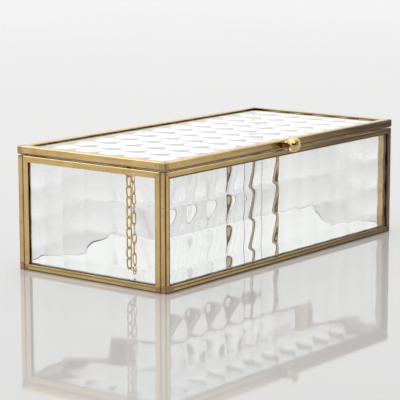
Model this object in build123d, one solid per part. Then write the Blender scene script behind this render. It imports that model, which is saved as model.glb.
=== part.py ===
from build123d import *
import math
import os

# A brass-framed glass jewelry box with a hinged lid, a mirror floor and a lid-stay chain.
#
# Row frame: origin in the middle of the underside, on the surface the box stands on.
# X runs along the long side, the front with the knob faces -Y, the hinges are at +Y, Z is up.
# Every wall and the lid is a glass pane edged by four mitred brass U-channels, one node each.
# The front and back walls run the full length, and the side walls stand between them.

os.makedirs("parts", exist_ok=True)

# ---- driving dimensions, mm ----
box_length = 210.0
box_depth = 100.0
body_height = 61.4
lid_top = 66.3

sheet = 0.5              # thickness of the brass sheet that the channels are bent from
bend_radius = 0.7        # outside radius of a channel's two bends
channel = 3.4            # width and depth of a wall channel
lid_channel = 4.4        # width and depth of a lid channel
seam = 0.08              # half the width of the seam at a mitre
pane_thickness = 2.2
lid_pane_thickness = 3.0
pane_edge_gap = 0.6      # from a pane's edge to the channel's web
wall_gap = 0.1           # between a side wall and the front or back wall

plate_thickness = 0.8    # base plate
mirror_thickness = 3.0
loose_fit = 0.05         # clearance under a pane that lies on brass

hinge_centres = (-62.0, 62.0)
knuckle_length = 8.0
knuckle_gap = 0.3
leaf_thickness = 0.5
leaf_height = 3.6
pin_radius = 0.6
pin_clearance = 0.05

knob_radius = 4.0
knob_x = -2.0            # the knob sits a little left of the middle
knob_reach = 5.0         # from the lid's front face to the ball's centre
collar_radius = 1.9
collar_length = 1.3
stud_radius = 0.9         # the stud fills its hole in the channel's web
rivet_radius = 1.35
rivet_thickness = 0.35

wire = 0.8               # chain wire diameter
ring_wire = 0.9
link_length = 6.15       # centre line, end to end
link_width = 2.7         # centre line, side to side
turn_link_length = 4.2
ring_radius = 1.9        # centre line
chain_play = 0.1         # between two wires that hook each other
body_links = 9           # from the body's ring down to the turn link
lid_links = 10           # from the lid's ring down to the turn link
lid_twist = 90.0         # the lid's strand turns this much on its way down, degrees

# ---- derived places ----
half_length = box_length / 2
half_depth = box_depth / 2
inner_x = half_length - channel
inner_y = half_depth - channel
lid_bottom = lid_top - lid_channel
lid_middle = (lid_top + lid_bottom) / 2
lid_glass_bottom = lid_bottom + sheet + loose_fit
mirror_bottom = plate_thickness + loose_fit
mirror_top = mirror_bottom + mirror_thickness
link_hook = wire + chain_play    # from one link's centre line to the next one's at a hook

knuckle_radius = pin_radius + pin_clearance + leaf_thickness
hinge_y = half_depth + knuckle_radius
hinge_z = (body_height + lid_bottom) / 2

# The stay pins: the lower one on the left wall's top channel, the upper one on the lid's lug.
lower_pin = Vector(-99.7, -22.4, 58.6)
upper_pin = Vector(-96.0, -22.6, 60.4)
# Middle of each strand's lowest bend, where the turn link hangs and swings.
lower_foot_x = -99.6
lower_foot_y = -22.2
upper_foot_x = -96.0
pin_wire_radius = 0.4
pin_head_radius = 0.85
pin_head_length = 0.4
pin_head_gap = 0.35      # between a ring and the head that keeps it on

# ---- helpers ----


def save(shape, node):
    export_step(shape, f"parts/{node}.step")


def channel_strip(length, size):
    """A U-channel along X with 45 degree ends: web at z = 0, open towards +Z."""
    outline = Rectangle(size, size, align=(Align.CENTER, Align.MIN))
    outline = fillet(outline.vertices().sort_by(Axis.Y)[:2], bend_radius)
    slot = Pos(0, sheet) * Rectangle(size - 2 * sheet, size, align=(Align.CENTER, Align.MIN))
    bar = extrude(Plane.YZ * (outline - slot), length / 2, both=True)
    half = length / 2 - seam
    mitres = Polygon(
        (-half, 0), (half, 0), (half - size, size), (-half + size, size), align=None
    )
    return bar & extrude(Plane.XZ * mitres, size, both=True)


def framed_pane(width, height, size, thickness, pane_shift=0.0):
    """Four mitred channels and their pane, standing in the XZ plane about the origin."""
    long_strip = channel_strip(width, size)
    short_strip = channel_strip(height, size)
    inset = 2 * (sheet + pane_edge_gap)
    return {
        "bottom_channel": Pos(0, 0, -height / 2) * long_strip,
        "top_channel": Pos(0, 0, height / 2) * Rot(0, 180, 0) * long_strip,
        "left_channel": Pos(-width / 2, 0, 0) * Rot(0, 90, 0) * short_strip,
        "right_channel": Pos(width / 2, 0, 0) * Rot(0, -90, 0) * short_strip,
        "glass": Pos(0, pane_shift, 0) * Box(width - inset, thickness, height - inset),
    }


def wire_loop(length, width, diameter):
    """A closed stadium loop of round wire in the XZ plane, long along Z, centred."""
    bend = width / 2
    straight = length / 2 - bend
    if straight < 0.01:
        return Rot(90, 0, 0) * Torus(bend, diameter / 2)
    path = Wire([
        Line((bend, 0, -straight), (bend, 0, straight)),
        ThreePointArc((bend, 0, straight), (0, 0, straight + bend), (-bend, 0, straight)),
        Line((-bend, 0, straight), (-bend, 0, -straight)),
        ThreePointArc((-bend, 0, -straight), (0, 0, -straight - bend), (bend, 0, -straight)),
    ])
    section = Plane(origin=(bend, 0, 0), z_dir=(0, 0, 1)) * Circle(diameter / 2)
    return sweep(section, path=path)


# ---- walls ----


def make_walls():
    wall_offset = half_depth - channel / 2
    side_offset = half_length - channel / 2
    side_length = 2 * (inner_y - wall_gap)
    middle = body_height / 2
    walls = {
        "front": (box_length, Pos(0, -wall_offset, middle)),
        "back": (box_length, Pos(0, wall_offset, middle) * Rot(0, 0, 180)),
        "left": (side_length, Pos(-side_offset, 0, middle) * Rot(0, 0, -90)),
        "right": (side_length, Pos(side_offset, 0, middle) * Rot(0, 0, 90)),
    }
    for wall, (length, place) in walls.items():
        for piece, shape in framed_pane(length, body_height, channel, pane_thickness).items():
            save(place * shape, f"{wall}_{piece}")


def make_corner_solder():
    """A fillet of solder down each inside corner of the four walls."""
    leg = 0.9
    low = mirror_top + 0.3
    high = body_height - 0.4
    beads = []
    for side_x in (-1, 1):
        for side_y in (-1, 1):
            corner = Polygon(
                (inner_x, inner_y), (inner_x - leg, inner_y), (inner_x, inner_y - leg),
                align=None,
            )
            bead = Pos(0, 0, low) * extrude(corner, high - low)
            if side_x < 0:
                bead = mirror(bead, Plane.YZ)
            if side_y < 0:
                bead = mirror(bead, Plane.XZ)
            beads.append(bead)
    save(Compound(children=beads), "corner_solder")


# ---- floor ----


def make_floor():
    edge_gap = 0.1
    plate = Box(
        2 * (inner_x - edge_gap), 2 * (inner_y - edge_gap), plate_thickness,
        align=(Align.CENTER, Align.CENTER, Align.MIN),
    )
    save(plate, "base_plate")
    mirror_gap = 0.2
    floor = Box(
        2 * (inner_x - mirror_gap), 2 * (inner_y - mirror_gap), mirror_thickness,
        align=(Align.CENTER, Align.CENTER, Align.MIN),
    )
    save(Pos(0, 0, mirror_bottom) * floor, "base_mirror")


# ---- lid ----


def make_lid():
    # The pane lies on the lower flanges: standing, that is a shift towards +Y, the underside.
    drop = lid_middle - lid_glass_bottom - lid_pane_thickness / 2
    flat = framed_pane(box_length, box_depth, lid_channel, lid_pane_thickness, drop)
    names = {
        "bottom_channel": "lid_front_channel",
        "top_channel": "lid_back_channel",
        "left_channel": "lid_left_channel",
        "right_channel": "lid_right_channel",
        "glass": "lid_glass",
    }
    stud_axis = Pos(knob_x, -half_depth, lid_middle) * Rot(90, 0, 0)
    stud_hole = stud_axis * Cylinder(stud_radius, channel)
    for piece, shape in flat.items():
        shape = Pos(0, 0, lid_middle) * Rot(-90, 0, 0) * shape
        if piece == "bottom_channel":
            shape = shape - stud_hole
        save(shape, names[piece])


def make_rest_solder():
    """The low blob of solder under the lid's left channel that the lid rests on."""
    length = 10.0
    height = lid_bottom - body_height - loose_fit
    centre_y = -19.0
    outline = Polygon(
        (-length / 2, 0), (length / 2, 0), (length / 2 - 2.5, -height), (-length / 2 + 2.5, -height),
        align=None,
    )
    width = 1.8
    blob = extrude(Plane.YZ * outline, width / 2, both=True)
    blob_x = -half_length + bend_radius + width / 2
    save(Pos(blob_x, centre_y, lid_bottom) * blob, "lid_rest_solder")


# ---- hinges ----


def hinge_leaf(knuckle_places, rise):
    """Rolled leaf on the back of the box: rise is +1 on the lid and -1 on the body."""
    flat_length = 3 * knuckle_length
    leaf = Pos(0, half_depth + leaf_thickness / 2, hinge_z + rise * leaf_height / 2)
    leaf = leaf * Box(flat_length, leaf_thickness, leaf_height)
    bore = Pos(0, hinge_y, hinge_z) * Rot(0, 90, 0)
    # Room for the other leaf's knuckles
    for place in (-1, 0, 1):
        if place not in knuckle_places:
            room = Cylinder(knuckle_radius + knuckle_gap, knuckle_length + 2 * knuckle_gap)
            leaf = leaf - Pos(place * knuckle_length, 0, 0) * bore * room
    for place in knuckle_places:
        roll_length = knuckle_length - (knuckle_gap if place else 0)
        shift = place * (knuckle_length + knuckle_gap / 2)
        leaf = leaf + Pos(shift, 0, 0) * bore * Cylinder(knuckle_radius, roll_length)
    return leaf - bore * Cylinder(pin_radius + pin_clearance, 2 * flat_length)


def make_hinges():
    for name, centre in zip(("left", "right"), hinge_centres):
        place = Pos(centre, 0, 0)
        save(place * hinge_leaf((-1, 1), -1), f"{name}_hinge_body_leaf")
        save(place * hinge_leaf((0,), 1), f"{name}_hinge_lid_leaf")
        pin = Pos(0, hinge_y, hinge_z) * Rot(0, 90, 0) * Cylinder(pin_radius, 3 * knuckle_length)
        save(place * pin, f"{name}_hinge_pin")


# ---- knob ----


def make_knob():
    """A ball on a turned collar, held by a stud riveted inside the front channel."""
    axis = Pos(knob_x, -half_depth, lid_middle) * Rot(90, 0, 0)      # local +Z points to the front
    ball = Pos(0, 0, knob_reach) * Sphere(knob_radius)
    stud_end = -sheet
    stud = Pos(0, 0, stud_end) * Cylinder(
        stud_radius, knob_reach - stud_end, align=(Align.CENTER, Align.CENTER, Align.MIN)
    )
    collar = Cylinder(
        collar_radius, collar_length, align=(Align.CENTER, Align.CENTER, Align.MIN)
    )
    rivet = Pos(0, 0, stud_end) * Cylinder(
        rivet_radius, rivet_thickness, align=(Align.CENTER, Align.CENTER, Align.MAX)
    )
    save(axis * (ball - stud), "knob_ball")
    save(axis * (collar - ball - stud), "knob_collar")
    save(axis * (stud + rivet), "knob_stud")


# ---- lid-stay chain ----


def strand_steps(links):
    """Distance down a strand to its ring, to each link, and to the middle of the lowest bend."""
    pin_hook = (2 * pin_wire_radius + ring_wire) / 2 + chain_play
    ring_hook = (ring_wire + wire) / 2 + chain_play
    ring_start = -pin_hook
    starts = [ring_start + 2 * ring_radius - ring_hook]
    for _ in range(links - 1):
        starts.append(starts[-1] + link_length - link_hook)
    foot = starts[-1] + link_length - link_width / 2
    return ring_start, starts, foot


def make_strand(top, foot, links, twist, ring_node, links_node):
    """A ring and its links on a straight line from the pin at top to the lowest bend at foot."""
    ring_start, starts, _ = strand_steps(links)
    direction = (foot - top).normalized()
    strand = Plane(origin=top, x_dir=(0, 1, 0), z_dir=direction)
    # Ring and odd links lie across Y, even links across X, before the twist.
    loop = wire_loop(2 * ring_radius, 2 * ring_radius, ring_wire)
    save(strand * Pos(0, 0, ring_start + ring_radius) * loop, ring_node)
    link = wire_loop(link_length, link_width, wire)
    shapes = []
    for number, start in enumerate(starts):
        turn = (90 if number % 2 == 0 else 0) + twist * number / (links - 1)
        shapes.append(strand * Pos(0, 0, start + link_length / 2) * Rot(0, 0, turn) * link)
    save(Compound(children=shapes), links_node)


def make_pins():
    """Headed pins that the rings hang on, and the lug that carries the lid's pin."""
    across = Rot(0, 90, 0)
    lug_thickness = 0.4
    lug_width = 2.4
    lug_low = upper_pin.Z - 0.6
    lug_x = -half_length + lid_channel
    lug_top = lid_bottom + sheet
    lug = Pos(lug_x, upper_pin.Y, lug_low) * Box(
        lug_thickness, lug_width, lug_top - lug_low, align=(Align.MIN, Align.CENTER, Align.MIN)
    )
    save(lug, "chain_lug_lid")
    for node, pin, root_x in (
        ("chain_pin_body", lower_pin, -inner_x),
        ("chain_pin_lid", upper_pin, lug_x + lug_thickness),
    ):
        head_x = pin.X + ring_wire / 2 + pin_head_gap
        shaft = Cylinder(
            pin_wire_radius, head_x - root_x, align=(Align.CENTER, Align.CENTER, Align.MIN)
        )
        head = Cylinder(
            pin_head_radius, pin_head_length, align=(Align.CENTER, Align.CENTER, Align.MIN)
        )
        shape = Pos(root_x, pin.Y, pin.Z) * across * shaft
        shape = shape + Pos(head_x, pin.Y, pin.Z) * across * head
        save(shape, node)


def make_chain():
    """Two strands that hang side by side, and the turn link that joins them at the bottom."""
    _, _, lower_reach = strand_steps(body_links)
    _, _, upper_reach = strand_steps(lid_links)
    lower_drop = math.sqrt(
        lower_reach**2 - (lower_foot_x - lower_pin.X) ** 2 - (lower_foot_y - lower_pin.Y) ** 2
    )
    lower_foot = Vector(lower_foot_x, lower_foot_y, lower_pin.Z - lower_drop)
    # The turn link reaches into both lowest bends, which fixes where the upper strand ends.
    span = turn_link_length + 2 * (link_width / 2 - link_hook)
    upper_foot_y = lower_foot_y
    for _ in range(20):
        upper_drop = math.sqrt(
            upper_reach**2 - (upper_foot_x - upper_pin.X) ** 2 - (upper_foot_y - upper_pin.Y) ** 2
        )
        rise = upper_pin.Z - upper_drop - lower_foot.Z
        across = span**2 - rise**2 - (upper_foot_x - lower_foot_x) ** 2
        upper_foot_y = lower_foot_y - math.sqrt(across)
    upper_foot = Vector(upper_foot_x, upper_foot_y, lower_foot.Z + rise)
    print("lower foot", lower_foot, "upper foot", upper_foot)
    make_strand(lower_pin, lower_foot, body_links, 0, "chain_ring_body", "chain_links_body")
    make_strand(upper_pin, upper_foot, lid_links, lid_twist, "chain_ring_lid", "chain_links_lid")
    turn_plane = Plane(origin=lower_foot, x_dir=(0, 1, 0), z_dir=(upper_foot - lower_foot))
    turn_link = wire_loop(turn_link_length, link_width, wire)
    save(turn_plane * Pos(0, 0, span / 2) * turn_link, "chain_turn_link")


make_walls()
make_corner_solder()
make_floor()
make_lid()
make_rest_solder()
make_hinges()
make_knob()
make_pins()
make_chain()
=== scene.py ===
"""Looks of the brass-framed glass jewelry box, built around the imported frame. Metres, Z up."""
import math

import bmesh
import bpy
import numpy as np
from mathutils import Matrix, Vector


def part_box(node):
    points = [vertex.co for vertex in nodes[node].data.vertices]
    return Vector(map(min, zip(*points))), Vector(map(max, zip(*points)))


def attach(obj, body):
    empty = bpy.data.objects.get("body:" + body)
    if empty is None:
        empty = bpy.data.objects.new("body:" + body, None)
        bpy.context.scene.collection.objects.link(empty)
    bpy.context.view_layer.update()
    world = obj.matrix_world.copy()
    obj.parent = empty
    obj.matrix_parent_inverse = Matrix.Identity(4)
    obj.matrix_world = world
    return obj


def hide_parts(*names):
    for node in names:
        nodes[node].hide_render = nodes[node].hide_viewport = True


MM = 0.001

# ---- camera, from the object's own frame ----
VIEW_AZIMUTH = 52.12       # degrees, turned from +Y towards +X
VIEW_ELEVATION = 10.0
VIEW_ROLL = -0.09
VIEW_DISTANCE = 0.98
VIEW_LENS = 159.5
VIEW_OFFSET = (-12.3 * MM, 0.5 * MM)   # aim point from the middle of the underside
VIEW_AIM_HEIGHT = 29.5 * MM

# ---- pressed relief of the panes ----
TILE = 16.3 * MM           # pitch of the square tiles
TILE_RADIUS = 57.0 * MM    # curvature of a tile's pillow at its crown
FLATTER_RIM = 0.37         # how much the pillow's slope falls behind towards its borders
LID_TILE_RADIUS = 100.0 * MM
VALLEY = 0.9 * MM          # rounded valley, from its middle to where the pillow starts
TWIST = 0.10               # saddle share of the pillow's curvature
RELIEF_STEP = 0.8 * MM

# ---- chain ----
CHAIN_LINKS = {   # node: body
    "chain_links_body": "chain_lower",
    "chain_turn_link": "chain_turn",
    "chain_links_lid": "chain_upper",
}
LINK_SQUARENESS = 3.2      # 2 is an ellipse
LINK_TWIST = 0.22 * MM
LINK_STEPS = 40
WIRE_STEPS = 12
WELD = 0.01 * MM           # CAD points nearer than this are one point

# ---- marks on the brass: solder patches, and painted shade and reflection lines ----
SOLDER_REACH = 8.0 * MM    # tan patches at the lower corners, along the rails
SOLDER_HEIGHT = 4.7 * MM   # and up the posts
LID_PATCH = 1.2 * MM       # smaller ones on the lid's corners, before their ragged edge
LID_PATCH_STRENGTH = 0.75
BEND_LINE = 0.85           # darkness of the painted reflection lines along the outside bends
FACE_LINE = 0.90           # painted shade, with some grime, along the flanges' inner edges by the glass, front and back
END_LINE = 0.55            # and the painted reflection bands on the bottom rails at the two ends
GAP_LINE = 0.80            # painted shade in the gap between the lid and the walls
LOW_RAIL_SHADE = 0.72      # share of the front's painted shade that is left at the bottom rail

# ---- room: direction, and the cosines where a part of the room starts and is full ----
BRIGHT_SIDE = ((-0.10, 0.85, 0.50), -0.55, 0.35)
BRIGHT_PATCH = ((0.69, -0.69, 0.20), 0.945, 0.985)
PHOTOGRAPHER = ((-0.777, -0.605, 0.10), 0.80, 0.86)   # a dark figure in front of the box
BRIGHT_ROOM = (1.0, 1.0, 1.0)
DARK_ROOM = (0.27, 0.215, 0.15)
FIGURE_COLOUR = (0.045, 0.036, 0.028)
ROOM_STRENGTH = 1.05

# ---- floor ----
FLOOR_REACH = 15.0
MATT_FLOOR = (             # directions in which reflections fade, and from where to where
    ((0.0, -1.0, 0.0), (0.27, 0.90)),
    ((-0.79, -0.61, 0.0), (0.42, 1.00)),
)

# ---- lamps: place, size, power in W, and what they point at ----
LAMP_AIM = (0.0, 0.0, 0.03)
SOFTBOX = ((-0.35, 0.35, 1.1), (1.0, 1.0), 3.0)
METAL_CARDS = (            # for the highlights along the bends, on metal only
    ("edge_card", (1.01, -0.23, 0.78), (0.9, 0.9), 2.8),
    ("ridge_card", (-0.25, 0.80, 1.05), (0.9, 0.9), 3.5),
)
KNOB_CARD = ((-0.50, -0.45, 0.66), (0.30, 0.30), 1.4, (0, -0.055, 0.064))
LID_SHEEN = ((0.404, 0.315, 0.145), (0.62, 0.11), 0.10, (0, 0, 0.06))   # a low strip behind

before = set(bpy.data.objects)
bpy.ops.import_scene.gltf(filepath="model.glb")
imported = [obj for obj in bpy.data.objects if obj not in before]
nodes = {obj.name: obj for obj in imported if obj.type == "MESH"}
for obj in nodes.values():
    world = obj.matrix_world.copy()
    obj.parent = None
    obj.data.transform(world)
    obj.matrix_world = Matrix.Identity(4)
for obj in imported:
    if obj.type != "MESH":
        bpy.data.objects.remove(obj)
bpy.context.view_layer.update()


# ---- small node helpers ----


def new_material(name):
    material = bpy.data.materials.new(name)
    material.use_nodes = True
    tree = material.node_tree
    return material, tree, tree.nodes["Principled BSDF"]


def add(tree, kind, **inputs):
    """A node with its inputs set by name, from values or from other nodes' sockets."""
    node = tree.nodes.new(kind)
    for key, value in inputs.items():
        socket = node.inputs[int(key[1:])] if key[0] == "_" else node.inputs[key.replace("_", " ")]
        if isinstance(value, bpy.types.NodeSocket):
            tree.links.new(value, socket)
        else:
            socket.default_value = value
    return node


def math_node(tree, operation, a, b=0.0, clamp=False):
    node = add(tree, "ShaderNodeMath", _0=a, _1=b)
    node.operation = operation
    node.use_clamp = clamp
    return node.outputs[0]


def ramp(tree, value, stops):
    node = add(tree, "ShaderNodeValToRGB", Fac=value)
    elements = node.color_ramp.elements
    while len(elements) < len(stops):
        elements.new(0.5)
    for element, (place, colour) in zip(elements, stops):
        element.position = place
        element.color = (*colour, 1.0)
    return node.outputs["Color"]


def mix_colour(tree, share, a, b):
    node = tree.nodes.new("ShaderNodeMix")
    node.data_type = "RGBA"
    for socket, value in ((node.inputs[0], share), (node.inputs[6], a), (node.inputs[7], b)):
        if isinstance(value, bpy.types.NodeSocket):
            tree.links.new(value, socket)
        else:
            socket.default_value = value if isinstance(value, float) else (*value, 1.0)
    return node.outputs[2]


def show_both(tree, share, first, second):
    """Gives a material the first shader where share is 0 and the second where it is 1."""
    both = add(tree, "ShaderNodeMixShader", Fac=share, _1=first.outputs[0], _2=second.outputs[0])
    tree.links.new(both.outputs[0], tree.nodes["Material Output"].inputs["Surface"])


def object_place(tree):
    return tree.nodes.new("ShaderNodeTexCoord").outputs["Object"]


def noise(tree, place, scale, detail=3.0, roughness=0.5):
    node = add(tree, "ShaderNodeTexNoise", Vector=place, Scale=scale, Detail=detail,
               Roughness=roughness)
    return node.outputs["Fac"]


def bump(tree, height, strength, distance):
    node = add(tree, "ShaderNodeBump", Height=height, Strength=strength, Distance=distance)
    return node.outputs["Normal"]


def smooth_share(tree, vector, direction, start, full):
    """0 to 1 as a vector's part along a direction goes from start to full."""
    part = add(tree, "ShaderNodeVectorMath", _0=vector, _1=Vector(direction).normalized())
    part.operation = "DOT_PRODUCT"
    share = add(tree, "ShaderNodeMapRange", Value=part.outputs["Value"], From_Min=start,
                From_Max=full)
    share.interpolation_type = "SMOOTHSTEP"
    return share.outputs[0]


def product(tree, *factors):
    result = factors[0]
    for factor in factors[1:]:
        result = math_node(tree, "MULTIPLY", result, factor)
    return result


def band(tree, value, middle, half_width):
    """1 about a value's middle, falling to 0 at half_width from it."""
    away = math_node(tree, "ABSOLUTE", math_node(tree, "SUBTRACT", value, middle))
    share = math_node(tree, "SUBTRACT", 1.0, math_node(tree, "DIVIDE", away, half_width))
    return math_node(tree, "MULTIPLY", share, 2.5, True)


def below(tree, value, limit, soft=0.2 * MM):
    """1 under the limit, 0 over it, with a soft step."""
    return math_node(tree, "DIVIDE", math_node(tree, "SUBTRACT", limit, value), soft, True)


def above(tree, value, limit, steepness):
    """0 up to the limit, then rising to 1."""
    over = math_node(tree, "SUBTRACT", value, limit, True)
    return math_node(tree, "MULTIPLY", over, steepness, True)


def height_and_insets(tree, place):
    """Height, and how far a place lies in from the box's ends and from its front or back face."""
    parts = add(tree, "ShaderNodeSeparateXYZ", Vector=place)
    from_end, from_face = (
        math_node(tree, "SUBTRACT", half, math_node(tree, "ABSOLUTE", parts.outputs[axis]))
        for axis, half in enumerate(cad_half[:2])
    )
    return parts.outputs[2], from_end, from_face


# ---- materials ----


def solder_mask(tree, place):
    """1 near the four lower corners of the walls, fading with a ragged edge."""
    height, from_end, from_face = height_and_insets(tree, place)
    terms = [
        math_node(tree, "POWER", math_node(tree, "DIVIDE", value, reach), 2.0)
        for value, reach in ((from_end, SOLDER_REACH), (from_face, SOLDER_REACH),
                             (height, SOLDER_HEIGHT))
    ]
    total = math_node(tree, "ADD", math_node(tree, "ADD", terms[0], terms[1]), terms[2])
    ragged = math_node(tree, "MULTIPLY", noise(tree, place, 260.0), 0.9)
    inside = math_node(tree, "SUBTRACT", math_node(tree, "SUBTRACT", 1.35, ragged), total)
    return math_node(tree, "MULTIPLY", inside, 5.0, clamp=True)


def lid_corner_mask(tree, place):
    """A weaker tan patch on the lid's corners and the tops of the corner posts."""
    height, from_end, from_face = height_and_insets(tree, place)
    apart = math_node(tree, "MAXIMUM", from_end, from_face)
    ragged = math_node(tree, "MULTIPLY", noise(tree, place, 300.0), 5.0 * MM)
    edge = math_node(tree, "ADD", ragged, LID_PATCH)
    inside = below(tree, apart, edge, 1.0 * MM)
    high = math_node(tree, "DIVIDE", math_node(
        tree, "SUBTRACT", height, WALL_HEIGHT - 2.0 * MM), 1.0 * MM, True)
    return product(tree, inside, high, LID_PATCH_STRENGTH)


def crevice_shade_and_grime(tree, reach):
    """1 in the open, towards 0 in grooves and inside corners, where it paints shade, with some
    grime there too.
    """
    occlusion = tree.nodes.new("ShaderNodeAmbientOcclusion")
    occlusion.samples = 8
    occlusion.inputs["Distance"].default_value = reach
    return occlusion.outputs["AO"]


def stretched(tree, place, along, squeeze):
    """Coordinates squeezed along one axis, so that noise turns into lines along it."""
    node = add(tree, "ShaderNodeMapping", Vector=place)
    scale = [1.0, 1.0, 1.0]
    scale[along] = squeeze
    node.inputs["Scale"].default_value = scale
    return node.outputs[0]


def front_painted_shade(tree, place, grain):
    """Painted shade on the front rails, standing in for the dark things they reflect: 0 at their
    left end, 1 at their right end, 0 elsewhere.
    """
    parts = add(tree, "ShaderNodeSeparateXYZ", Vector=place)
    half_x, half_y = cad_half[:2]
    along = add(tree, "ShaderNodeMapRange", Value=parts.outputs[0], From_Min=-1.05 * half_x,
                From_Max=0.6 * half_x)
    rising = add(tree, "ShaderNodeMapRange", Value=parts.outputs[2], From_Max=LID_BOTTOM,
                 To_Min=LOW_RAIL_SHADE)
    near = add(tree, "ShaderNodeMapRange", Value=parts.outputs[1], From_Min=1.5 * MM - half_y,
               From_Max=0.5 * MM - half_y)
    streaks = noise(tree, stretched(tree, place, grain, 0.02), 700.0, 3.0)
    streaks = math_node(tree, "MULTIPLY", math_node(tree, "SUBTRACT", streaks, 0.08), 2.4, True)
    return product(tree, along.outputs[0], rising.outputs[0], near.outputs[0], streaks)


def edge_painted_shade(tree, place):
    """Dark lines: painted reflection along the corner bends and across the bottom rails, and
    painted shade, with some grime, along the flanges' inner edges by the glass and in the gap under
    the lid.
    """
    height, from_end, from_face = height_and_insets(tree, place)
    corner = below(tree, math_node(tree, "MAXIMUM", from_end, from_face), 0.6 * MM)
    on_face = below(tree, from_face, 0.3 * MM)
    on_end = below(tree, from_end, 0.3 * MM)
    line = CHANNEL - 0.3 * MM
    width = 0.55 * MM
    low_rail = band(tree, height, 0.70 * CHANNEL, 0.35 * MM)
    low_rail = math_node(tree, "MAXIMUM", low_rail, band(tree, height, 0.18 * CHANNEL, 0.30 * MM))
    high_rail = band(tree, height, WALL_HEIGHT - line, width)
    rails = math_node(tree, "MAXIMUM", low_rail, high_rail)
    clear_of_post = math_node(tree, "SUBTRACT", 1.0, below(tree, from_end, line), True)
    clear_of_side_post = math_node(
        tree, "SUBTRACT", 1.0, below(tree, from_face, line + CHANNEL), True)
    post = band(tree, from_end, line, width)
    on_wall = below(tree, height, WALL_HEIGHT - 0.7 * line)
    face_lines = math_node(tree, "MAXIMUM", product(tree, rails, clear_of_post),
                           product(tree, post, on_wall))
    marks = math_node(tree, "MAXIMUM", product(tree, corner, BEND_LINE),
                      product(tree, face_lines, on_face, FACE_LINE))
    lid_gap = band(tree, height, LID_BOTTOM + 0.35 * MM, 0.45 * MM)
    marks = math_node(tree, "MAXIMUM", marks, product(tree, lid_gap, GAP_LINE))
    return math_node(tree, "MAXIMUM", marks,
                     product(tree, low_rail, clear_of_side_post, on_end, END_LINE))


def make_brass(along):
    """Aged satin brass drawn along one axis: tan patina, rolling lines, painted shade and grime in
    the grooves, painted shade and reflection lines along its edges, and painted shade on the front
    rails.
    """
    material, tree, shader = new_material("aged_brass_painted_shade_" + "xyz"[along])
    place = object_place(tree)
    clouds = noise(tree, place, 90.0, 4.0, 0.6)
    base = ramp(tree, clouds, [
        (0.30, (0.57, 0.395, 0.165)), (0.52, (0.67, 0.48, 0.215)), (0.72, (0.73, 0.55, 0.27)),
    ])
    smudges = noise(tree, place, 45.0, 3.0, 0.6)
    base = mix_colour(tree, above(tree, smudges, 0.58, 4.0), base, (0.52, 0.345, 0.18))
    lines = noise(tree, stretched(tree, place, along, 0.035), 1500.0, 2.0)
    base = mix_colour(tree, above(tree, lines, 0.50, 2.6), base, (0.40, 0.255, 0.10))
    specks = noise(tree, place, 700.0, 2.0)
    base = mix_colour(tree, above(tree, specks, 0.64, 5.0), base, (0.20, 0.12, 0.055))
    # painted reflection and painted shade: dark lines along the bends, the rails, the flange edges
    # by the glass and the lid gap
    base = mix_colour(tree, edge_painted_shade(tree, place), base, (0.10, 0.055, 0.02))
    mask = math_node(tree, "MAXIMUM", solder_mask(tree, place), lid_corner_mask(tree, place))
    base = mix_colour(tree, mask, base, (0.40, 0.255, 0.135))
    # painted shade: the front rails darken towards their right end, standing in for the dark things
    # they reflect
    base = mix_colour(tree, front_painted_shade(tree, place, along), base, (0.10, 0.065, 0.033))
    # painted shade in grooves, inside corners and where brass meets glass, with some grime there
    # too
    open_air = crevice_shade_and_grime(tree, 1.1 * MM)
    shade_and_grime = ramp(tree, open_air, [(0.25, (1, 1, 1)), (0.80, (0, 0, 0))])
    base = mix_colour(tree, shade_and_grime, base, (0.30, 0.18, 0.07))
    tree.links.new(base, shader.inputs["Base Color"])
    rough = math_node(tree, "ADD", 0.12, math_node(tree, "MULTIPLY", clouds, 0.12))
    rough = math_node(tree, "ADD", rough, math_node(tree, "MULTIPLY", mask, 0.16))
    tree.links.new(rough, shader.inputs["Roughness"])
    shader.inputs["Metallic"].default_value = 1.0
    waves = noise(tree, place, 220.0, 2.0)
    normal = bump(tree, waves, 0.25, 0.12 * MM)
    tree.links.new(normal, shader.inputs["Normal"])
    return material


def make_chain_brass():
    material, tree, shader = new_material("chain_brass")
    place = object_place(tree)
    clouds = noise(tree, place, 500.0, 3.0)
    base = ramp(tree, clouds, [(0.35, (0.62, 0.38, 0.06)), (0.65, (0.96, 0.66, 0.17))])
    tree.links.new(base, shader.inputs["Base Color"])
    shader.inputs["Metallic"].default_value = 1.0
    shader.inputs["Roughness"].default_value = 0.2
    tree.links.new(bump(tree, clouds, 0.3, 0.05 * MM), shader.inputs["Normal"])
    return material


def make_polished_brass():
    material, tree, shader = new_material("polished_brass")
    place = object_place(tree)
    clouds = noise(tree, place, 300.0, 3.0)
    base = ramp(tree, clouds, [(0.35, (0.78, 0.54, 0.22)), (0.65, (0.88, 0.67, 0.34))])
    tree.links.new(base, shader.inputs["Base Color"])
    shader.inputs["Metallic"].default_value = 1.0
    rough = math_node(tree, "ADD", 0.02, math_node(tree, "MULTIPLY", clouds, 0.04))
    tree.links.new(rough, shader.inputs["Roughness"])
    return material


def make_solder():
    material, tree, shader = new_material("solder")
    place = object_place(tree)
    clouds = noise(tree, place, 400.0, 3.0)
    base = ramp(tree, clouds, [(0.35, (0.34, 0.22, 0.13)), (0.65, (0.55, 0.38, 0.24))])
    tree.links.new(base, shader.inputs["Base Color"])
    shader.inputs["Metallic"].default_value = 1.0
    shader.inputs["Roughness"].default_value = 0.38
    tree.links.new(bump(tree, clouds, 0.6, 0.3 * MM), shader.inputs["Normal"])
    return material


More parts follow.
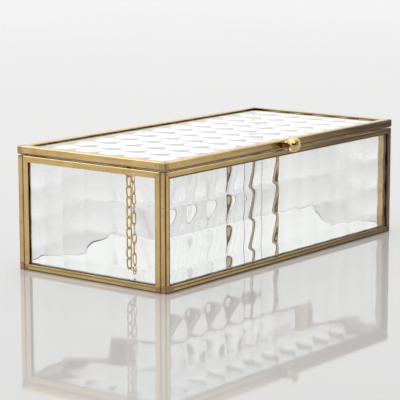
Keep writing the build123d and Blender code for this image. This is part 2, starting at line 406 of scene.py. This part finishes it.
def make_glass():
    """Clear pressed glass. Lamps shine through it, so what is inside stays lit."""
    material, tree, shader = new_material("relief_glass")
    place = object_place(tree)
    tint = ramp(tree, noise(tree, place, 25.0), [
        (0.3, (0.965, 0.975, 0.97)), (0.7, (0.985, 0.99, 0.985)),
    ])
    tree.links.new(tint, shader.inputs["Base Color"])
    shader.inputs["Roughness"].default_value = 0.0
    shader.inputs["IOR"].default_value = 1.5
    shader.inputs["Transmission Weight"].default_value = 1.0
    ripple = noise(tree, place, 120.0, 2.0)
    tree.links.new(bump(tree, ripple, 0.1, 0.05 * MM), shader.inputs["Normal"])
    clear = add(tree, "ShaderNodeBsdfTransparent")
    path = tree.nodes.new("ShaderNodeLightPath")
    show_both(tree, path.outputs["Is Shadow Ray"], shader, clear)
    return material


def make_mirror():
    material, tree, shader = new_material("mirror_glass")
    place = object_place(tree)
    haze = noise(tree, place, 60.0)
    base = ramp(tree, haze, [(0.3, (0.83, 0.84, 0.835)), (0.7, (0.86, 0.865, 0.86))])
    tree.links.new(base, shader.inputs["Base Color"])
    shader.inputs["Metallic"].default_value = 1.0
    facing = add(tree, "ShaderNodeSeparateXYZ",
                 Vector=tree.nodes.new("ShaderNodeNewGeometry").outputs["Normal"])
    ground_edge = below(tree, math_node(tree, "ABSOLUTE", facing.outputs[2]), 0.5, 0.1)
    rough = math_node(tree, "ADD", math_node(tree, "MULTIPLY", haze, 0.02),
                      math_node(tree, "MULTIPLY", ground_edge, 0.6))
    tree.links.new(rough, shader.inputs["Roughness"])
    return material


def make_floor_material():
    material, tree, shader = new_material("pale_floor")
    place = object_place(tree)
    tint = ramp(tree, noise(tree, place, 3.0), [
        (0.3, (0.63, 0.63, 0.635)), (0.7, (0.66, 0.66, 0.665)),
    ])
    tree.links.new(tint, shader.inputs["Base Color"])
    shader.inputs["Roughness"].default_value = 0.04
    shader.inputs["IOR"].default_value = 1.6
    far = [smooth_share(tree, place, away, *reach) for away, reach in MATT_FLOOR]
    matt = add(tree, "ShaderNodeBsdfDiffuse", Color=tint)
    show_both(tree, math_node(tree, "MAXIMUM", *far), shader, matt)
    return material


# ---- relief panes ----


def tile_profile(place, phase, radius):
    """Height of the pillow relief along one direction, 0 on a tile's crown, and its tile offset."""
    offset = (place - phase) % TILE - TILE / 2
    flat = TILE / 2 - VALLEY
    distance = np.abs(offset)
    beyond = np.maximum(distance - flat, 0.0)
    inside = np.minimum(distance, flat)
    pillow = -(inside**2 / 2 - FLATTER_RIM * inside**4 / (4 * flat**2)) / radius
    valley = -(1 - FLATTER_RIM) * (flat / radius) * (beyond - beyond**2 / (2 * VALLEY))
    return pillow + valley, offset / (TILE / 2)


def relief_pane(node, face, across_phase, up_phase, radius, twist, material):
    """A closed pane in the CAD pane's box, with the relief pressed into its outer face.

    face is the outer face's direction as (axis, sign). The phases are places of tile borders.
    """
    low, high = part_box(node)
    axis, sign = face
    across, up = [i for i in range(3) if i != axis]
    count = [max(2, round((high[i] - low[i]) / RELIEF_STEP)) for i in (across, up)]
    a = np.linspace(low[across], high[across], count[0] + 1)
    b = np.linspace(low[up], high[up], count[1] + 1)
    height_a, offset_a = tile_profile(a, across_phase, radius)
    height_b, offset_b = tile_profile(b, up_phase, radius)
    edge_a = 1 - offset_a**6
    edge_b = 1 - offset_b**6
    saddle = twist * (TILE / 2) ** 2 / radius
    relief = height_a[:, None] + height_b[None, :]
    relief = relief + saddle * (offset_a * edge_a)[:, None] * (offset_b * edge_b)[None, :]
    outer = (high if sign > 0 else low)[axis]
    inner = (low if sign > 0 else high)[axis]
    top = relief.max()
    places = np.zeros((len(a), len(b), 3))
    places[:, :, across] = a[:, None]
    places[:, :, up] = b[None, :]
    places[:, :, axis] = outer + sign * (relief - top)
    vertices = [tuple(p) for p in places.reshape(-1, 3)]
    columns = len(b)

    def at(i, j):
        return i * columns + j

    faces = []
    for i in range(len(a) - 1):
        for j in range(len(b) - 1):
            faces.append((at(i, j), at(i + 1, j), at(i + 1, j + 1), at(i, j + 1)))
    smooth_count = len(faces)
    rim = [at(i, 0) for i in range(len(a))]
    rim += [at(len(a) - 1, j) for j in range(1, len(b))]
    rim += [at(i, len(b) - 1) for i in range(len(a) - 2, -1, -1)]
    rim += [at(0, j) for j in range(len(b) - 2, 0, -1)]
    back_start = len(vertices)
    for index in rim:
        point = list(vertices[index])
        point[axis] = inner
        vertices.append(tuple(point))
    back = list(range(back_start, back_start + len(rim)))
    for k in range(len(rim)):
        following = (k + 1) % len(rim)
        faces.append((rim[following], rim[k], back[k], back[following]))
    faces.append(tuple(reversed(back)))
    mesh = bpy.data.meshes.new(node + "_relief")
    mesh.from_pydata(vertices, [], faces)
    mesh.validate()
    smooth = [k < smooth_count for k in range(len(faces))]
    mesh.polygons.foreach_set("use_smooth", smooth)
    outward = mesh.polygons[0].normal[axis] * sign
    if outward < 0:
        mesh.flip_normals()
    mesh.materials.append(material)
    pane = bpy.data.objects.new(node + "_relief", mesh)
    bpy.context.scene.collection.objects.link(pane)
    return pane


# ---- the frame's own places ----
wall_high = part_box("front_bottom_channel")[1]
back_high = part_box("back_bottom_channel")[1]
cad_half = Vector((wall_high.x, back_high.y, 0.0))   # half the walls' length and depth
CHANNEL = wall_high.z
WALL_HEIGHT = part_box("front_top_channel")[1].z
LID_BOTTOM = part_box("lid_front_channel")[0].z

brass = [make_brass(along) for along in range(3)]
chain_brass = make_chain_brass()
polished = make_polished_brass()
solder = make_solder()
glass = make_glass()
mirror_glass = make_mirror()

PANES = {
    # node: (body, relief face, a tile border across, a tile border up, tile radius, twist)
    "front_glass": ("box", (1, -1), -22.2 * MM, 27.2 * MM, TILE_RADIUS, TWIST),
    "back_glass": ("box", (1, 1), -20.0 * MM, 27.2 * MM, TILE_RADIUS, -TWIST),
    "left_glass": ("box", (0, -1), 4.2 * MM, 26.5 * MM, TILE_RADIUS, TWIST),
    "right_glass": ("box", (0, 1), 2.0 * MM, 26.5 * MM, TILE_RADIUS, -TWIST),
    "lid_glass": ("lid", (2, -1), -16.0 * MM, 4.3 * MM, LID_TILE_RADIUS, 0.0),
}


def dress_cad_nodes():
    for name, obj in nodes.items():
        if name in PANES:
            continue
        if name == "base_mirror":
            material = mirror_glass
        elif "solder" in name:
            material = solder
        elif name.startswith("knob"):
            material = polished
        elif name.startswith("chain"):
            material = chain_brass
        else:
            low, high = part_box(name)
            spans = [high[i] - low[i] for i in range(3)]
            material = brass[spans.index(max(spans))]
        obj.data.materials.clear()
        obj.data.materials.append(material)


def make_panes():
    for node, (body, *relief) in PANES.items():
        pane = relief_pane(node, *relief, glass)
        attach(pane, body)
        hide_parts(node)


# ---- chain links ----


def solids_in(mesh):
    """The points of each separate solid in a mesh, as arrays."""
    places = np.array([vertex.co for vertex in mesh.vertices])
    keys = [tuple(row) for row in np.round(places / WELD).astype(int)]
    leader = {key: key for key in keys}

    def find(key):
        while leader[key] != key:
            leader[key] = leader[leader[key]]
            key = leader[key]
        return key

    for edge in mesh.edges:
        first, second = (find(keys[index]) for index in edge.vertices)
        leader[first] = second
    groups = {}
    for key, place in zip(keys, places):
        groups.setdefault(find(key), []).append(place)
    return [np.array(group) for group in groups.values()]


def oval_link(points):
    """Vertices and faces of a rounded, slightly twisted link that fills one CAD link's space."""
    middle = points.mean(axis=0)
    axes = np.linalg.svd(points - middle, full_matrices=False)[2]
    local = (points - middle) @ axes.T
    low, high = local.min(axis=0), local.max(axis=0)
    middle = middle + ((low + high) / 2) @ axes
    wire = (high - low)[2]
    half_long = ((high - low)[0] - wire) / 2
    half_wide = ((high - low)[1] - wire) / 2
    turn = np.linspace(0, 2 * math.pi, LINK_STEPS, endpoint=False)
    power = 2 / LINK_SQUARENESS
    outline = np.stack([
        half_long * np.sign(np.cos(turn)) * np.abs(np.cos(turn)) ** power,
        half_wide * np.sign(np.sin(turn)) * np.abs(np.sin(turn)) ** power,
        LINK_TWIST * np.sin(2 * turn),
    ], axis=1)
    forward = np.roll(outline, -1, axis=0) - np.roll(outline, 1, axis=0)
    forward /= np.linalg.norm(forward, axis=1)[:, None]
    side = np.cross(forward, (0.0, 0.0, 1.0))
    side /= np.linalg.norm(side, axis=1)[:, None]
    up = np.cross(side, forward)
    round_turn = np.linspace(0, 2 * math.pi, WIRE_STEPS, endpoint=False)
    vertices = []
    for k in range(LINK_STEPS):
        for angle in round_turn:
            offset = wire / 2 * (math.cos(angle) * side[k] + math.sin(angle) * up[k])
            vertices.append(tuple(middle + (outline[k] + offset) @ axes))
    faces = []
    for k in range(LINK_STEPS):
        following = (k + 1) % LINK_STEPS
        for j in range(WIRE_STEPS):
            beside = (j + 1) % WIRE_STEPS
            faces.append((
                k * WIRE_STEPS + j, k * WIRE_STEPS + beside,
                following * WIRE_STEPS + beside, following * WIRE_STEPS + j,
            ))
    return vertices, faces


def make_chain_links():
    pieces = []
    for node, body in CHAIN_LINKS.items():
        vertices, faces = [], []
        for points in solids_in(nodes[node].data):
            more_vertices, more_faces = oval_link(points)
            start = len(vertices)
            vertices += more_vertices
            faces += [tuple(start + index for index in face) for face in more_faces]
        mesh = bpy.data.meshes.new(node + "_oval")
        mesh.from_pydata(vertices, [], faces)
        make_normals_outward(mesh)
        mesh.polygons.foreach_set("use_smooth", [True] * len(faces))
        mesh.materials.append(chain_brass)
        piece = bpy.data.objects.new(node + "_oval", mesh)
        bpy.context.scene.collection.objects.link(piece)
        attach(piece, body)
        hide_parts(node)
        pieces.append(piece)
    return pieces


def make_normals_outward(mesh):
    shape = bmesh.new()
    shape.from_mesh(mesh)
    bmesh.ops.recalc_face_normals(shape, faces=shape.faces)
    shape.to_mesh(mesh)
    shape.free()


# ---- stage ----


def make_stage():
    mesh = bpy.data.meshes.new("floor")
    corners = [(-1, -1), (1, -1), (1, 1), (-1, 1)]
    vertices = [(x * FLOOR_REACH, y * FLOOR_REACH, 0) for x, y in corners]
    mesh.from_pydata(vertices, [], [(0, 1, 2, 3)])
    mesh.materials.append(make_floor_material())
    floor = bpy.data.objects.new("floor", mesh)
    bpy.context.scene.collection.objects.link(floor)


def area_light(name, place, size, power, aim=LAMP_AIM):
    lamp = bpy.data.lights.new(name, "AREA")
    lamp.shape = "RECTANGLE"
    lamp.size, lamp.size_y = size
    lamp.energy = power
    obj = bpy.data.objects.new(name, lamp)
    obj.location = place
    obj.rotation_euler = (Vector(aim) - Vector(place)).to_track_quat("-Z", "Y").to_euler()
    bpy.context.scene.collection.objects.link(obj)
    obj.visible_camera = False
    return obj


def only_on(lamp, objects):
    """Lets a lamp light these objects and nothing else."""
    lit = bpy.data.collections.new("lit_by_" + lamp.name)
    for obj in objects:
        lit.objects.link(obj)
    lamp.light_linking.receiver_collection = lit


def make_room():
    """The light all round: bright behind the box, darker in front, with a bright patch there."""
    world = bpy.data.worlds.new("studio")
    bpy.context.scene.world = world
    world.use_nodes = True
    tree = world.node_tree
    direction = tree.nodes.new("ShaderNodeTexCoord").outputs["Generated"]
    glow, patch, figure = (
        smooth_share(tree, direction, *part) for part in (BRIGHT_SIDE, BRIGHT_PATCH, PHOTOGRAPHER)
    )
    tint = mix_colour(tree, math_node(tree, "MAXIMUM", glow, patch), DARK_ROOM, BRIGHT_ROOM)
    tint = mix_colour(tree, figure, tint, FIGURE_COLOUR)
    background = tree.nodes["Background"]
    tree.links.new(tint, background.inputs["Color"])
    background.inputs["Strength"].default_value = ROOM_STRENGTH


def make_lamps(chain_pieces):
    area_light("softbox_above", *SOFTBOX)
    brass_work = [obj for name, obj in nodes.items()
                  if not (name in PANES or name == "base_mirror" or name.startswith("knob"))]
    for name, *card in METAL_CARDS:
        only_on(area_light(name, *card), brass_work + chain_pieces)
    knob_and_chain = [obj for name, obj in nodes.items() if name.startswith(("knob", "chain"))]
    only_on(area_light("knob_card", *KNOB_CARD), chain_pieces + knob_and_chain)
    only_on(area_light("lid_sheen", *LID_SHEEN), [bpy.data.objects["lid_glass_relief"]])


def make_camera():
    azimuth = math.radians(VIEW_AZIMUTH)
    elevation = math.radians(VIEW_ELEVATION)
    forward = Vector((
        math.sin(azimuth) * math.cos(elevation),
        math.cos(azimuth) * math.cos(elevation),
        -math.sin(elevation),
    ))
    aim = Vector((VIEW_OFFSET[0], VIEW_OFFSET[1], VIEW_AIM_HEIGHT))
    camera = bpy.data.cameras.new("camera")
    camera.lens = VIEW_LENS
    camera.clip_start = 0.05
    obj = bpy.data.objects.new("camera", camera)
    turn = forward.to_track_quat("-Z", "Y").to_matrix().to_4x4()
    roll = Matrix.Rotation(math.radians(VIEW_ROLL), 4, "Z")
    obj.matrix_world = Matrix.Translation(aim - forward * VIEW_DISTANCE) @ turn @ roll
    bpy.context.scene.collection.objects.link(obj)
    bpy.context.scene.camera = obj


dress_cad_nodes()
make_panes()
chain_pieces = make_chain_links()
make_stage()
make_room()
make_lamps(chain_pieces)
make_camera()
bpy.context.scene.view_settings.view_transform = "Standard"
